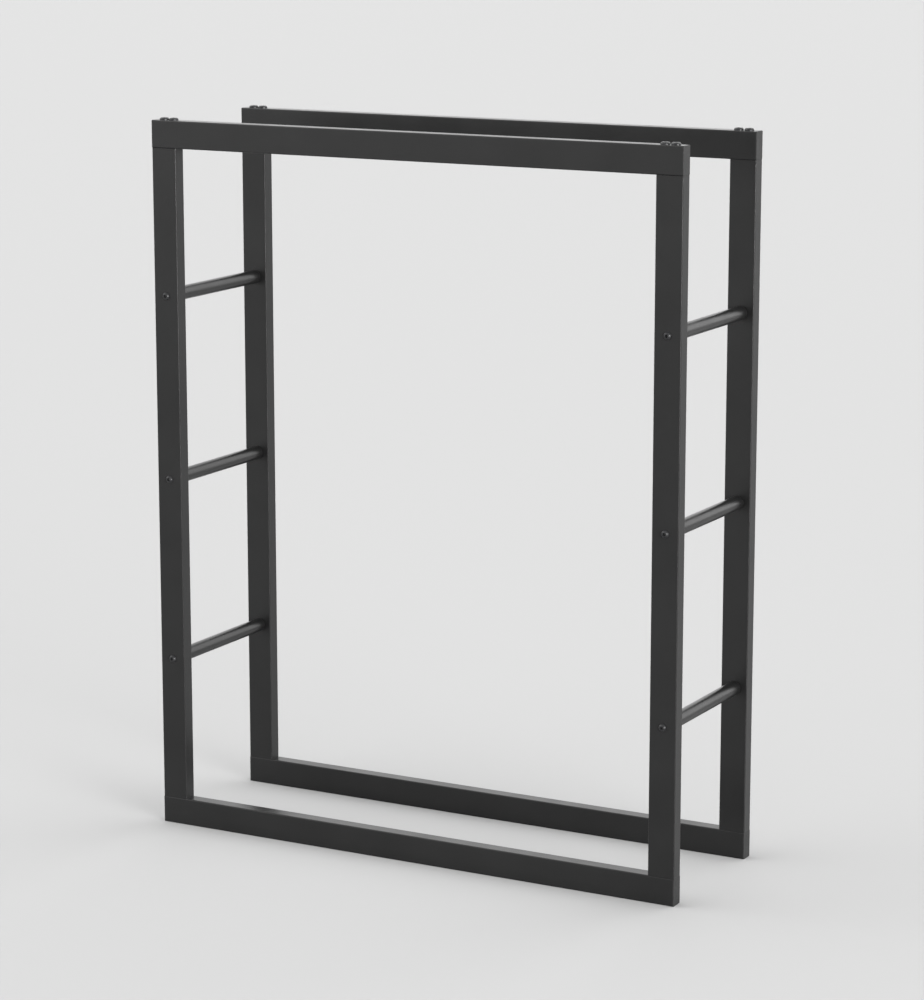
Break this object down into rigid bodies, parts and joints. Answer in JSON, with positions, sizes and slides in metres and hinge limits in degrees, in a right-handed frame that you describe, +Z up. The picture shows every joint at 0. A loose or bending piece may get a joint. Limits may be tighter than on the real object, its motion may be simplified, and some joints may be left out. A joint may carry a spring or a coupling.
{
  "type": "firewood log rack",
  "caption": "Free-standing open firewood rack: two black rectangular tube frames tied by round cross tubes, with the logs lying on the bottom rails.",
  "frame": {"origin": "on the floor, below the middle of the rack's footprint", "axes": "+X to the right along the rails, +Y from the front frame to the rear frame, +Z up"},
  "size_m": [0.8, 0.2566, 1.0033],
  "materials": {
    "frame_tube": "satin black powder coat",
    "cross_tube": "satin black powder coat",
    "rail_cap": "fine matt moulded plastic",
    "black_screw": "satin black coated steel",
    "inner_steel": "plain zinc-plated steel"
  },
  "bodies": {
    "root": {"front_bottom_rail": "frame_tube", "front_bottom_rail_left_cap": "rail_cap", "front_bottom_rail_right_cap": "rail_cap", "front_bottom_rail_screws": "black_screw", "front_cross_tube_bolts": "black_screw", "front_left_post": "frame_tube", "front_left_post_bottom_plate": "inner_steel", "front_left_post_top_plate": "inner_steel", "front_right_post": "frame_tube", "front_right_post_bottom_plate": "inner_steel", "front_right_post_top_plate": "inner_steel", "front_top_rail": "frame_tube", "front_top_rail_left_cap": "rail_cap", "front_top_rail_right_cap": "rail_cap", "front_top_rail_screws": "black_screw", "left_lower_cross_tube": "cross_tube", "left_lower_cross_tube_front_insert": "inner_steel", "left_lower_cross_tube_rear_insert": "inner_steel", "left_middle_cross_tube": "cross_tube", "left_middle_cross_tube_front_insert": "inner_steel", "left_middle_cross_tube_rear_insert": "inner_steel", "left_upper_cross_tube": "cross_tube", "left_upper_cross_tube_front_insert": "inner_steel", "left_upper_cross_tube_rear_insert": "inner_steel", "rear_bottom_rail": "frame_tube", "rear_bottom_rail_left_cap": "rail_cap", "rear_bottom_rail_right_cap": "rail_cap", "rear_bottom_rail_screws": "black_screw", "rear_cross_tube_bolts": "black_screw", "rear_left_post": "frame_tube", "rear_left_post_bottom_plate": "inner_steel", "rear_left_post_top_plate": "inner_steel", "rear_right_post": "frame_tube", "rear_right_post_bottom_plate": "inner_steel", "rear_right_post_top_plate": "inner_steel", "rear_top_rail": "frame_tube", "rear_top_rail_left_cap": "rail_cap", "rear_top_rail_right_cap": "rail_cap", "rear_top_rail_screws": "black_screw", "right_lower_cross_tube": "cross_tube", "right_lower_cross_tube_front_insert": "inner_steel", "right_lower_cross_tube_rear_insert": "inner_steel", "right_middle_cross_tube": "cross_tube", "right_middle_cross_tube_front_insert": "inner_steel", "right_middle_cross_tube_rear_insert": "inner_steel", "right_upper_cross_tube": "cross_tube", "right_upper_cross_tube_front_insert": "inner_steel", "right_upper_cross_tube_rear_insert": "inner_steel"}
  },
  "joints": []
}
